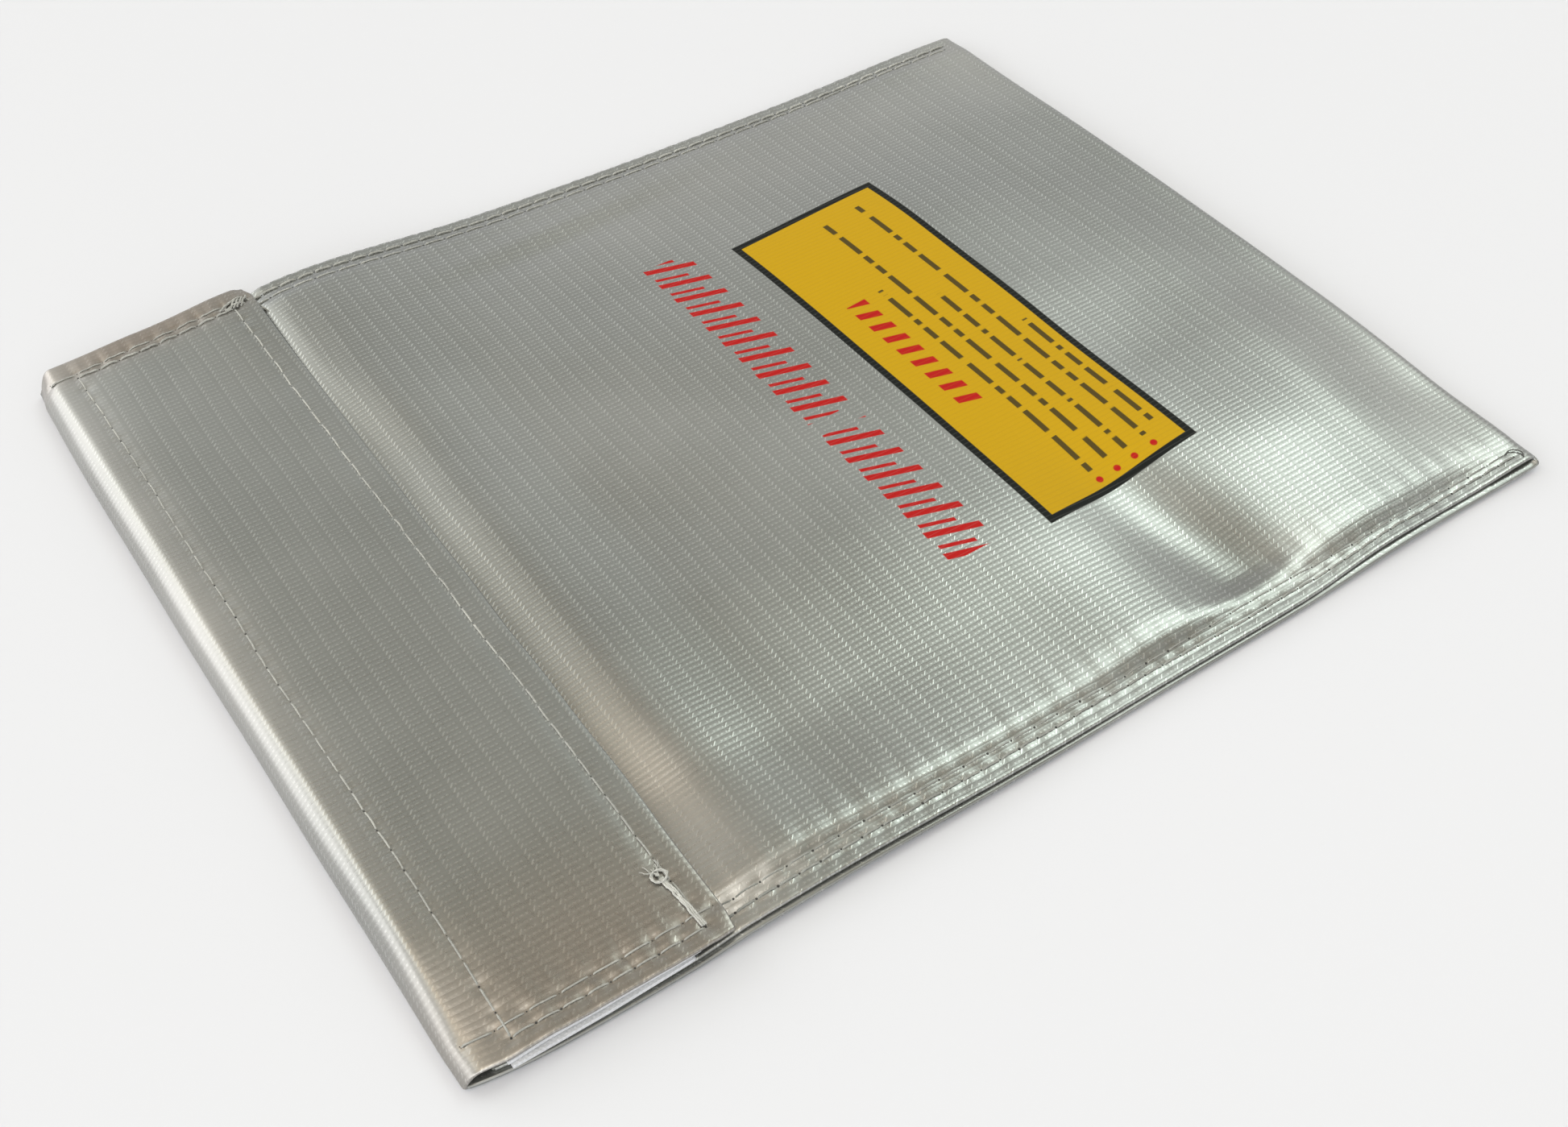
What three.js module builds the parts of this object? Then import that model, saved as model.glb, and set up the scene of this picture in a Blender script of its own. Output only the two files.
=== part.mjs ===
// Flat charging and storage bag for lithium polymer packs.
// One strip of silver-coated glass-fibre cloth is folded at the bottom, sewn up both sides
// and carried on past the mouth as a flap. The flap folds over the mouth and closes on the
// front with a hook strip and a loop strip.
//
// Frame: millimetres. The bag lies on its back. +X runs from the flap fold to the bottom
// fold, +Y to the bag's right side (flap at the top, front towards the viewer), +Z up.
// Origin: middle of the underside.
import * as THREE from "three";

// ---- overall size ------------------------------------------------------------------
const WIDTH = 180; // across the bag, seam edge to seam edge
const LENGTH = 225; // flap fold to bottom fold, closed
const CLOTH = 0.5; // one layer of coated cloth
const GAP = 0.1; // air between stacked layers
const HALF_W = WIDTH / 2;
const HALF_L = LENGTH / 2;

// ---- undersides of the layers, from the table up -----------------------------------
const STEP = CLOTH + GAP;
const Z_BACK = 0; // back panel
const Z_BACK_HEM = STEP; // back panel's turned-in edge
const Z_FRONT_HEM = 2 * STEP; // front panel's turned-in edge
const Z_FRONT = 3 * STEP; // front panel
const Z_ON_FRONT = 4 * STEP; // loop strip and threads, on the front panel
const LOOP_T = 1.1;
const STRIP_GAP = 0.4; // air between loop strip and hook strip
const Z_HOOK = Z_ON_FRONT + LOOP_T + STRIP_GAP; // hook strip, under the flap
const HOOK_T = 1.4;
const Z_FLAP_HEM = Z_HOOK + HOOK_T + GAP; // flap's turned-in edges
const Z_FLAP = Z_FLAP_HEM + STEP; // flap cloth

// ---- side seams --------------------------------------------------------------------
const SEAM = 8; // width of a side seam
const SEAM_IN = HALF_W - SEAM; // inner edge of the seam layers
const HEM_EDGE = HALF_W - 0.5; // turned-in layers stop a little inside the outer edge
const BACK_HEM_START = -111.5;
const SEAM_END = 107.5; // bottom end of the seam layers

// ---- pocket ------------------------------------------------------------------------
const BACK_END = 108; // bottom end of the back panel
const MOUTH_X = -108; // front panel's mouth edge
const MOUTH_HEM = 10; // width of the mouth hem
const MOUTH_HEM_HALF = SEAM_IN - 1;
const FRONT_HALF = SEAM_IN - 0.5; // half width of the part that lifts
const FRONT_END = 107.9; // bottom end of the front panel
const FOLD_TOP = 4.1; // outer height of the bottom fold
const FOLD_TOP_START = 108.4; // where the fold's upper layer starts

// ---- flap --------------------------------------------------------------------------
const FOLD_X = -HALF_L + CLOTH; // inner face of the mouth fold
const FLAP_END = -68; // free edge of the flap
const FLAP_CLIP = 2; // clipped free corners
const FLAP_END_HEM = 8;
const FLAP_SIDE_HEM_X = [-110, FLAP_END - 2.5];

// ---- hook and loop strips ----------------------------------------------------------
const HOOK_X = [-106, -74];
const LOOP_X = [-105.4, -75];
const STRIP_HALF = 89.5; // half length of both strips

// ---- threads -----------------------------------------------------------------------
const THREAD_W = 0.7;
const SEAM_THREAD_T = 0.3; // threads lying on the front panel
const THREAD_T = 0.2; // threads on the flap and the loop strip
const THREAD_GAP = 0.05; // air under the thinner threads
const ROW_OUT = HALF_W - 2.5; // outer row of a side seam
const ROW_IN = HALF_W - 5; // inner row
const SEAM_THREAD_X = [-70.5, 107];
const MOUTH_THREAD_X = MOUTH_X + 2;
const MOUTH_THREAD_HALF = 80;
const LOOP_BOX_X = [-101, -75]; // long rows that hold the loop strip
const LOOP_BOX_HALF = 86.5;
const HOOK_BOX_X = [-104.6, -72.8]; // long rows that hold the hook strip
const FLAP_THREAD_X = [-111, FLAP_END - 1];
const Z_FLAP_THREAD = Z_FLAP + CLOTH + THREAD_GAP;
const Z_HOOK_BOX = Z_FLAP_THREAD + THREAD_T + THREAD_GAP; // crosses over the side rows

// ---- materials ---------------------------------------------------------------------
const silver = new THREE.MeshStandardMaterial({
  name: "silver_cloth",
  color: 0xa3a6a3,
  roughness: 0.38,
  metalness: 0.75,
});
const inside = new THREE.MeshStandardMaterial({
  name: "cloth_inside",
  color: 0x8f9290,
  roughness: 0.5,
  metalness: 0.5,
});
const white = new THREE.MeshStandardMaterial({
  name: "white_strip",
  color: 0xe9eaee,
  roughness: 0.85,
  metalness: 0,
});
const thread = new THREE.MeshStandardMaterial({
  name: "thread",
  color: 0xb9bab2,
  roughness: 0.7,
  metalness: 0,
});

// ---- helpers -----------------------------------------------------------------------
const bag = new THREE.Group();

function add(name, material, geometry) {
  const mesh = new THREE.Mesh(geometry, material);
  mesh.name = name;
  bag.add(mesh);
}

// A range of the given half width about a centre.
const around = (centre, half) => [centre - half, centre + half];

// The Y range between two distances from the middle, on side -1 (left) or 1 (right).
const onSide = (sign, near, far) => (sign < 0 ? [-far, -near] : [near, far]);

// A plain block over an X range and a Y range, its underside at z.
function addBlock(name, material, [x0, x1], [y0, y1], z, thickness) {
  const geometry = new THREE.BoxGeometry(x1 - x0, y1 - y0, thickness);
  geometry.translate((x0 + x1) / 2, (y0 + y1) / 2, z + thickness / 2);
  add(name, material, geometry);
}

const vectors = (points) => points.map(([x, y]) => new THREE.Vector2(x, y));

// An outline, with holes if any, extruded by depth.
function extrude(outline, depth, holes = []) {
  const shape = new THREE.Shape(vectors(outline));
  shape.holes = holes.map((hole) => new THREE.Path(vectors(hole)));
  return new THREE.ExtrudeGeometry(shape, { depth, bevelEnabled: false });
}

// A row of stitches along X.
function addRow(name, xRange, y, z, thickness) {
  addBlock(name, thread, xRange, around(y, THREAD_W / 2), z, thickness);
}

// A rectangle of stitches, given by the middle lines of its rows.
function addStitchBox(name, [x0, x1], half, z) {
  const corners = (grow) => [
    [x0 - grow, -half - grow],
    [x1 + grow, -half - grow],
    [x1 + grow, half + grow],
    [x0 - grow, half + grow],
  ];
  const [a, b, c, d] = corners(-THREAD_W / 2);
  const geometry = extrude(corners(THREAD_W / 2), THREAD_T, [[a, d, c, b]]);
  geometry.translate(0, 0, z);
  add(name, thread, geometry);
}

// Eased step from 0 at start to 1 at end.
function smooth(start, end, value) {
  const t = Math.min(1, Math.max(0, (value - start) / (end - start)));
  return t * t * (3 - 2 * t);
}

// A closed cloth shell of even upright thickness over a grid.
function shell(xs, ys, underside, thickness) {
  const lastX = xs.length - 1;
  const lastY = ys.length - 1;
  const positions = [];
  const indices = [];
  for (const x of xs) {
    for (const y of ys) {
      const z = underside(x, y);
      positions.push(x, y, z, x, y, z + thickness);
    }
  }

  // Each grid point has a lower vertex, at this index, and its upper vertex right after.
  const lower = (i, j) => (i * ys.length + j) * 2;
  const upper = (i, j) => lower(i, j) + 1;
  const quad = (a, b, c, d) => indices.push(a, b, c, a, c, d);
  const wall = (from, to) => quad(from, to, to + 1, from + 1);

  for (let i = 0; i < lastX; i++) {
    for (let j = 0; j < lastY; j++) {
      quad(upper(i, j), upper(i + 1, j), upper(i + 1, j + 1), upper(i, j + 1));
      quad(lower(i, j), lower(i, j + 1), lower(i + 1, j + 1), lower(i + 1, j));
    }
  }
  for (let i = 0; i < lastX; i++) {
    wall(lower(i, 0), lower(i + 1, 0));
    wall(lower(i + 1, lastY), lower(i, lastY));
  }
  for (let j = 0; j < lastY; j++) {
    wall(lower(0, j + 1), lower(0, j));
    wall(lower(lastX, j), lower(lastX, j + 1));
  }

  const geometry = new THREE.BufferGeometry();
  geometry.setAttribute("position", new THREE.Float32BufferAttribute(positions, 3));
  geometry.setIndex(indices);
  geometry.computeVertexNormals();
  return geometry;
}

// ---- pocket ------------------------------------------------------------------------
function addBackPanel() {
  addBlock("back_panel", silver, [FOLD_X + GAP, BACK_END], [-HALF_W, HALF_W], Z_BACK, CLOTH);
}

// The cloth turns back over itself in a half round.
function addBottomFold() {
  const radius = FOLD_TOP / 2;
  const steps = 10;
  const arc = (r) =>
    Array.from({ length: steps + 1 }, (_, i) => {
      const angle = -Math.PI / 2 + (Math.PI * i) / steps;
      return [HALF_L - radius + r * Math.cos(angle), radius + r * Math.sin(angle)];
    });
  // Profile in X and Z.
  const profile = [
    [BACK_END + GAP, 0],
    ...arc(radius),
    [FOLD_TOP_START, FOLD_TOP],
    [FOLD_TOP_START, FOLD_TOP - CLOTH],
    ...arc(radius - CLOTH).reverse(),
    [BACK_END + GAP, CLOTH],
  ];
  const geometry = extrude(profile, WIDTH);
  geometry.rotateX(Math.PI / 2); // profile up becomes +Z, the run becomes -Y
  geometry.translate(0, HALF_W, 0);
  add("bottom_fold", silver, geometry);
}

function addSideSeam(side, sign) {
  const hem = onSide(sign, SEAM_IN, HEM_EDGE);
  const edge = onSide(sign, SEAM_IN, HALF_W);
  const frontX = [MOUTH_X, SEAM_END];
  addBlock(`back_hem_${side}`, inside, [BACK_HEM_START, SEAM_END], hem, Z_BACK_HEM, CLOTH);
  addBlock(`front_hem_${side}`, inside, frontX, hem, Z_FRONT_HEM, CLOTH);
  addBlock(`front_seam_edge_${side}`, silver, frontX, edge, Z_FRONT, CLOTH);
  for (const [row, y] of [
    ["outer", ROW_OUT],
    ["inner", ROW_IN],
  ]) {
    const name = `seam_${row}_thread_${side}`;
    addRow(name, SEAM_THREAD_X, sign * y, Z_ON_FRONT, SEAM_THREAD_T);
  }
}

// Front of the pocket: flat at the mouth, standing up over the empty pocket, and coming
// down to meet the bottom fold.
function addFrontPanel() {
  const bulge = 4.7; // greatest lift
  const riseX = [-70, -46]; // lift grows from the mouth side
  const fallX = [76, FRONT_END]; // lift dies out towards the bottom
  const fallY = [46, FRONT_HALF]; // lift dies out towards each side
  const foldX = [82, FRONT_END]; // panel climbs to the fold's upper layer
  const foldRise = FOLD_TOP - CLOTH - Z_FRONT;

  const underside = (x, y) => {
    const along = smooth(...riseX, x) * (1 - smooth(...fallX, x));
    const over = 1 - smooth(...fallY, Math.abs(y));
    return Z_FRONT + bulge * along * over + smooth(...foldX, x) * foldRise;
  };

  // Grid stations, closer together where the panel bends: X, then Y from the middle out.
  const xs = [
    MOUTH_X, -90, -70, -66, -62, -58, -54, -50, -46, -20,
    10, 40, 76, 81, 86, 91, 96, 101, 105, FRONT_END,
  ];
  const rightYs = [24, 46, 53, 60, 67, 74, 78, FRONT_HALF];
  const leftYs = rightYs.map((y) => -y).reverse();
  add("front_panel", silver, shell(xs, [...leftYs, 0, ...rightYs], underside, CLOTH));
}

function addMouthHem() {
  const hemX = [MOUTH_X, MOUTH_X + MOUTH_HEM];
  addBlock("mouth_hem", inside, hemX, around(0, MOUTH_HEM_HALF), Z_FRONT_HEM, CLOTH);
  addBlock(
    "mouth_hem_thread",
    thread,
    around(MOUTH_THREAD_X, THREAD_W / 2),
    around(0, MOUTH_THREAD_HALF),
    Z_ON_FRONT,
    SEAM_THREAD_T,
  );
}

function addLoopStrip() {
  addBlock("loop_strip", white, LOOP_X, around(0, STRIP_HALF), Z_ON_FRONT, LOOP_T);
  const threadZ = Z_ON_FRONT + LOOP_T + THREAD_GAP;
  addStitchBox("loop_box_thread", LOOP_BOX_X, LOOP_BOX_HALF, threadZ);
}

// ---- mouth fold and flap -----------------------------------------------------------
function addMouthFold() {
  const height = Z_FLAP - GAP - STEP;
  addBlock("mouth_fold", silver, [-HALF_L, FOLD_X], [-HALF_W, HALF_W], STEP, height);
}

function addFlapPanel() {
  const outline = [
    [FOLD_X + GAP, -HALF_W],
    [FLAP_END - FLAP_CLIP, -HALF_W],
    [FLAP_END, -HALF_W + FLAP_CLIP],
    [FLAP_END, HALF_W - FLAP_CLIP],
    [FLAP_END - FLAP_CLIP, HALF_W],
    [FOLD_X + GAP, HALF_W],
  ];
  const geometry = extrude(outline, CLOTH);
  geometry.translate(0, 0, Z_FLAP);
  add("flap_panel", silver, geometry);
}

function addFlapSide(side, sign) {
  const hem = onSide(sign, SEAM_IN, HEM_EDGE);
  addBlock(`flap_side_hem_${side}`, inside, FLAP_SIDE_HEM_X, hem, Z_FLAP_HEM, CLOTH);
  addRow(`flap_hem_thread_${side}`, FLAP_THREAD_X, sign * ROW_IN, Z_FLAP_THREAD, THREAD_T);
}

function addFlapEndHem() {
  const hemX = [FLAP_END - FLAP_END_HEM, FLAP_END - 0.5];
  addBlock("flap_end_hem", inside, hemX, around(0, SEAM_IN - 0.5), Z_FLAP_HEM, CLOTH);
}

function addHookStrip() {
  addBlock("hook_strip", white, HOOK_X, around(0, STRIP_HALF), Z_HOOK, HOOK_T);
  addStitchBox("hook_box_thread", HOOK_BOX_X, ROW_OUT, Z_HOOK_BOX);
}

// Knot on the hook box's row nearest the free edge, towards the left.
function addThreadKnot() {
  const radii = [1.1, 1.3, 0.5]; // along X, Y and Z
  const knotY = -76;
  const knotZ = Z_HOOK_BOX + THREAD_T + THREAD_GAP + radii[2];
  const geometry = new THREE.SphereGeometry(1, 10, 6);
  geometry.scale(...radii);
  geometry.translate(HOOK_BOX_X[1], knotY, knotZ);
  add("thread_knot", thread, geometry);
}

// Loose thread end, lying over the free edge near the right corner.
function addThreadTail() {
  // Middle line: X, Y, Z.
  const points = [
    [-74, 86.9, 7.5],
    [-71, 87.2, 7.7],
    [-69, 86.2, 7.5],
    [-67.6, 83.6, 6.4],
  ];
  const path = new THREE.CatmullRomCurve3(points.map((p) => new THREE.Vector3(...p)));
  const radius = THREAD_W / 2;
  const sides = 6;
  const section = Array.from({ length: sides }, (_, i) => {
    const angle = (2 * Math.PI * i) / sides;
    return [radius * Math.cos(angle), radius * Math.sin(angle)];
  });
  const shape = new THREE.Shape(vectors(section));
  shape.closePath();
  const options = { steps: 10, bevelEnabled: false, extrudePath: path };
  add("thread_tail", thread, new THREE.ExtrudeGeometry(shape, options));
}

// ---- assembly ----------------------------------------------------------------------
addBackPanel();
addBottomFold();
addSideSeam("left", -1);
addSideSeam("right", 1);
addFrontPanel();
addMouthHem();
addLoopStrip();
addMouthFold();
addFlapPanel();
addFlapSide("left", -1);
addFlapSide("right", 1);
addFlapEndHem();
addHookStrip();
addThreadKnot();
addThreadTail();

export default bag;
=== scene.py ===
"""A silver cloth bag, closed with hook and loop tape, lying on its back on a floor.

The bag's opening and its mouth fold are towards -x, its bottom fold towards +x. The near or
"left" side is at -y, the far or "right" side at +y. The back lies on the floor, the front
is above it, and the flap turns up round the mouth fold and over the front.
"""

import math

import bpy
import numpy as np
from mathutils import Matrix, Vector


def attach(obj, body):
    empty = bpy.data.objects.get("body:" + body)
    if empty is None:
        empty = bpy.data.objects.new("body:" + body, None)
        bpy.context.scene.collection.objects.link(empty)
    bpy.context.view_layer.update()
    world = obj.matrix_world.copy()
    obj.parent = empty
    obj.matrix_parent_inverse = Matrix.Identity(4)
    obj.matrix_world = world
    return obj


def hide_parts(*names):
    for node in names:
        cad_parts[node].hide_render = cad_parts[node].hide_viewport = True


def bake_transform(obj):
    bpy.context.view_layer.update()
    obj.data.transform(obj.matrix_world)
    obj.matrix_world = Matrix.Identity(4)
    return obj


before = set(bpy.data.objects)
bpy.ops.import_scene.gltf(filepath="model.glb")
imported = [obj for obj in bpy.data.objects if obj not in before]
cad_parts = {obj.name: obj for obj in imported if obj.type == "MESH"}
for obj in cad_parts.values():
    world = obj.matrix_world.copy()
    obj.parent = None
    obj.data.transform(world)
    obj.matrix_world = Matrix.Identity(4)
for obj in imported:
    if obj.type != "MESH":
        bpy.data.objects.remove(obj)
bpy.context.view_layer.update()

MM = 0.001
T = 0.34  # one layer of cloth
HALF_W = 90.0
TURN = 0.20  # mid-surface radius of a turned edge
PLY = 2 * TURN  # from one layer to the next
REST = 0.02  # air under a resting layer

FOLD_X = -109.6  # where the mouth fold's round starts
LOW_ARC, UP_ARC = 3.95, 6.55  # cloth in the lower and the upper part of the mouth fold
MOUTH_X = -108.0  # the front's edge at the mouth
FREE_X = -67.75  # the flap's free edge
BOTTOM_X = 110.1  # where the bottom fold's round starts
BOTTOM_R = 2.0  # how far the bottom fold stands out
BOTTOM_ARC = 5.4  # cloth in the bottom fold
BACK_END_X = 100.0  # where the front's cloth, turned under, meets the back


# ---------------------------------------------------------------- small maths helpers
def smooth(a, b, v):
    """0 at a, 1 at b, eased between; a may be the larger."""
    t = np.clip((np.asarray(v, float) - a) / (b - a), 0, 1)
    return t * t * (3 - 2 * t)


def bell(v, centre, spread):
    return np.exp(-0.5 * ((v - centre) / spread) ** 2)


def mound(x, y, centre_x, centre_y, length, width, turn=0.0):
    """A round hill of height 1, turned by some degrees."""
    c, s = math.cos(math.radians(turn)), math.sin(math.radians(turn))
    dx, dy = x - centre_x, y - centre_y
    along, across = c * dx + s * dy, -s * dx + c * dy
    return np.exp(-0.5 * ((along / length) ** 2 + (across / width) ** 2))


def waves(x, y, seed, count, low, high):
    """A smooth, seeded, zero-mean wobble of plane waves, low to high mm long."""
    rng = np.random.default_rng(seed)
    out = np.zeros(np.broadcast(x, y).shape)
    for _ in range(count):
        k = 2 * math.pi / rng.uniform(low, high)
        angle, phase = rng.uniform(0, math.pi), rng.uniform(0, 2 * math.pi)
        out += np.sin(k * (x * math.cos(angle) + y * math.sin(angle)) + phase)
    return out / math.sqrt(count)


def ripple(v, pitch, seed):
    """An uneven wave along one line, for cloth gathered by stitches."""
    rng = np.random.default_rng(seed)
    k = 2 * math.pi / pitch
    return sum(
        size * np.sin(k * rate * v + rng.uniform(0, 6))
        for size, rate in ((1, 1), (0.5, 0.53), (0.35, 1.71))
    )


def relax(values, passes):
    """Smooths a line of values or points in place, ends kept."""
    for _ in range(passes):
        values[1:-1] = (values[:-2] + 2 * values[1:-1] + values[2:]) / 4
    return values


def resample(at, knots, points):
    return np.stack([np.interp(at, knots, column) for column in points.T], -1)


def run_along(path):
    """Distance along a path at each of its points."""
    return np.concatenate([[0], np.cumsum(np.linalg.norm(np.diff(path, axis=0), axis=1))])


def steps(points, sizes):
    """Breakpoints filled in with about the given spacing in each span."""
    out = [points[0]]
    for a, b, size in zip(points, points[1:], sizes):
        n = max(1, int(round(abs(b - a) / size)))
        out += list(a + (b - a) * np.arange(1, n + 1) / n)
    return np.array(out)


# ---------------------------------------------------------------- stitch rows
STRAY = 0.18  # how far a needle hole wanders off its row


def row(x0, y0, x1, y1, pitch, seed):
    """Needle holes of a sewn row from one point to another."""
    rng = np.random.default_rng(seed)
    dx, dy = x1 - x0, y1 - y0
    length = math.hypot(dx, dy)
    n = max(2, int(round(length / pitch)) + 1)
    t = np.linspace(0, 1, n)
    off = np.cumsum(rng.normal(0, STRAY * 0.45, n))
    off -= np.linspace(off[0], off[-1], n)
    off = np.clip(off, -2.2 * STRAY, 2.2 * STRAY)
    return np.c_[x0 + dx * t - dy / length * off, y0 + dy * t + dx / length * off]


SEWN = {  # x and y of the start, x and y of the end, pitch
    # both side seams of the front: heavy outer row, fine inner row
    "seam_outer_left": (-70.0, -87.2, 108.2, -87.2, 4.0),
    "seam_outer_right": (-70.0, 87.3, 108.2, 87.0, 4.0),
    "seam_inner_left": (-70.0, -84.9, 107.5, -85.2, 4.9),
    "seam_inner_right": (-70.0, 84.9, 107.5, 85.4, 4.9),
    # flap: the rectangle that holds the tape, and the side hems
    "box_fold": (-104.3, -87.3, -106.0, 84.0, 4.45),
    "box_free": (-71.8, -87.2, -72.6, 84.2, 4.45),
    "box_left": (-104.3, -87.3, -71.8, -87.2, 4.1),
    "box_right": (-106.0, 84.0, -72.6, 84.2, 4.1),
    "hem_left": (-111.0, -85.2, -69.0, -84.8, 5.0),
    "hem_right": (-111.0, 85.0, -69.4, 85.9, 5.2),
}
ROWS = {name: row(*ends, seed=11 + i) for i, (name, ends) in enumerate(SEWN.items())}
SEAM_ROWS = [name for name in ROWS if name.startswith("seam")]
FLAP_ROWS = [name for name in ROWS if name not in SEAM_ROWS]

# towards the bottom corner the near seam runs closer to the edge
for name, move in (("seam_outer_left", 0.7), ("seam_inner_left", 1.35)):
    ROWS[name][:, 1] -= move * smooth(48, 72, ROWS[name][:, 0])


def pucker(x, y, names, depth, size, trench):
    """How far a stitched surface is drawn down: a dimple of the given depth and size at each
    needle hole and a shallow trench under each stitch."""
    out = np.zeros(x.shape)
    for name in names:
        holes = ROWS[name]
        lo, hi = holes.min(0) - 4, holes.max(0) + 4
        near = (x > lo[0]) & (x < hi[0]) & (y > lo[1]) & (y < hi[1])
        if not near.any():
            continue
        q = np.c_[x[near], y[near]]
        hole = np.zeros(len(q))
        line = np.full(len(q), 1e9)  # squared distance to the nearest stitch
        for i, a in enumerate(holes):
            hole = np.maximum(hole, np.exp(-0.5 * ((q - a) ** 2).sum(1) / size**2))
            if i + 1 < len(holes):
                ab = holes[i + 1] - a
                t = np.clip(((q - a) @ ab) / (ab @ ab), 0, 1)
                line = np.minimum(line, ((q - (a + t[:, None] * ab)) ** 2).sum(1))
        drawn = depth * hole + trench * np.exp(-0.5 * line / 0.9**2) * (1 - 0.6 * hole)
        out[near] = np.maximum(out[near], drawn)
    return out


# ---------------------------------------------------------------- the bag's rest shape
SOFT = [  # hills and hollows of the empty pocket: height, x, y, length, width, turn
    (1.5, 60, 26, 24, 34, 0), (0.8, 10, -10, 34, 40, 0), (-1.9, 45, -72, 7, 22, 12),
    (1.7, 78, -60, 16, 13, 0), (0.7, 24, -76, 9, 16, 16), (0.7, -55, -66, 6, 16, 9),
    (-0.7, 92, 46, 12, 26, 0), (0.5, -6, 76, 18, 2.4, 4), (-0.4, -6, 71, 18, 2.6, 4),
]


def lift(x, y):
    """How far the sewn side edges stand up off the floor."""
    far = 0.45 + 4.0 * bell(x, -56, 21) + 1.1 * smooth(60, 106, x)
    near = 0.45 + 1.3 * bell(x, -50, 26)
    near = near + 0.7 * bell(x, 76, 8) + 0.5 * smooth(92, 110, x)
    side = np.where(y > 0, far, near)
    under_flap = 1 - 0.7 * smooth(-64, -76, x)
    return side * under_flap * np.where(y > 0, smooth(28, 87, y), smooth(62, 87, -y))


def z_back(x, y):
    """Mid-surface of the back cloth."""
    return T / 2 + REST + 0.72 * lift(x, y)


def z_front(x, y):
    """Mid-surface of the front cloth."""
    off = np.abs(y)
    margin = 3 * PLY + T / 2 + REST + lift(x, y)
    over = 1 - smooth(30, 86, off)
    # height of the middle above the flat stack, rising out from under the flap
    dome = 1.4 + smooth(-76.5, -67.5, x) * 1.5 + smooth(-70, -57, x) * 2.0
    dome = dome - smooth(-58, -38, x) * 1.4 * (0.4 + 0.6 * smooth(-70, -5, y))
    dome = dome * (1 - smooth(88, 109, x))
    dome += (1.7 + 0.9 * over) * smooth(86, 109, x)  # up to the bottom fold
    z = margin + dome * (0.28 + 0.72 * over) * smooth(88.5, 82, off)
    soft = sum(height * mound(x, y, *place) for height, *place in SOFT)
    soft += 0.10 * waves(x, y, 3, count=7, low=28, high=60) * smooth(-70, -60, x)
    z = z + soft * smooth(86.5, 79, off)
    # the bottom fold's near end stays open
    return z + 0.35 * smooth(99, 109, x) * smooth(-84, -89, y)


def z_flap(x, y):
    """Mid-surface of the flap's upper layer."""
    far = smooth(56, 90, y)
    # the far side dips at the fold and rises towards the free edge
    z = 6.25 + far * (-0.9 * smooth(-92, -110, x) + 1.3 * smooth(-94, -70, x))
    # the near side drops, most at the fold
    z -= 1.15 * smooth(-62, -91, y)
    z -= 0.9 * smooth(-98, -111, x) * smooth(-66, -89, y)
    z += 0.35 * smooth(-52, -78, y) * smooth(-90, -100, y) * smooth(-95, -70, x)
    z += 0.10 * waves(x, y, 5, count=6, low=30, high=70)
    # the free edge rolls down a little past the tape
    z -= 0.14 * smooth(-76, -68.5, x)
    return z


# Outline of the mouth fold from the back to the flap: how far it stands out past FOLD_X, and
# its height as a share of the gap. It stands out most near the floor.
FOLD_OUTLINE = np.array([
    (0, 0), (1.3, 0.0), (2.5, 0.015), (3.25, 0.07), (3.6, 0.17), (3.5, 0.30),
    (3.15, 0.46), (2.65, 0.63), (2.0, 0.80), (1.1, 0.94), (0.4, 0.99), (0, 1.0),
])


def outline_run(points):
    """Length along the fold's outline, with the gap taken as 6 mm high."""
    return run_along(points * [1, 6])


_knots = outline_run(FOLD_OUTLINE)
FOLD_LINE = relax(resample(np.linspace(0, _knots[-1], 400), _knots, FOLD_OUTLINE), 60)
_run = outline_run(FOLD_LINE)
FOLD_T = _run / _run[-1]
FOLD_JOIN = LOW_ARC / (LOW_ARC + UP_ARC)


def fold_ring(y, t):
    """x and z of the mouth fold between the back (t = 0) and the flap (t = 1)."""
    z_low, z_high = z_back(FOLD_X, y), z_flap(FOLD_X, y)
    out = np.interp(t, FOLD_T, FOLD_LINE[:, 0])
    h = np.interp(t, FOLD_T, FOLD_LINE[:, 1])
    corner = smooth(83, 90, np.abs(y)) * np.where(y > 0, 0.30, 0.06)
    out = out * (1 - corner * smooth(0, 0.25, h))
    swell = 0.35 * (1 - (y / 90) ** 2) + 0.10 * waves(0 * y, y, 21, count=4, low=40, high=90)
    x = FOLD_X - out * (1 + 0.10 * swell) - swell * smooth(0, 0.2, h) * smooth(1, 0.6, h)
    return x, z_low + (z_high - z_low) * h


BACK_LENGTH = BACK_END_X - FOLD_X
FRONT_LENGTH = BOTTOM_X - MOUTH_X


def back_surface(s, y):
    """Along the floor towards the mouth, then up round the lower part of the mouth fold."""
    x = BACK_END_X - s
    t = FOLD_JOIN * np.clip((s - BACK_LENGTH) / LOW_ARC, 0, 1.1)
    fold_x, fold_z = fold_ring(y, t)
    on = s > BACK_LENGTH
    return np.stack([np.where(on, fold_x, x), y + 0 * s, np.where(on, fold_z, z_back(x, y))], -1)


def flap_surface(s, y):
    """Up round the rest of the mouth fold, then over the front to the free edge."""
    x = FOLD_X + (s - UP_ARC)
    t = FOLD_JOIN + (1 - FOLD_JOIN) * np.clip(s / UP_ARC, -0.06, 1)
    fold_x, fold_z = fold_ring(y, t)
    on = s < UP_ARC
    return np.stack([np.where(on, fold_x, x), y + 0 * s, np.where(on, fold_z, z_flap(x, y))], -1)


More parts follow.
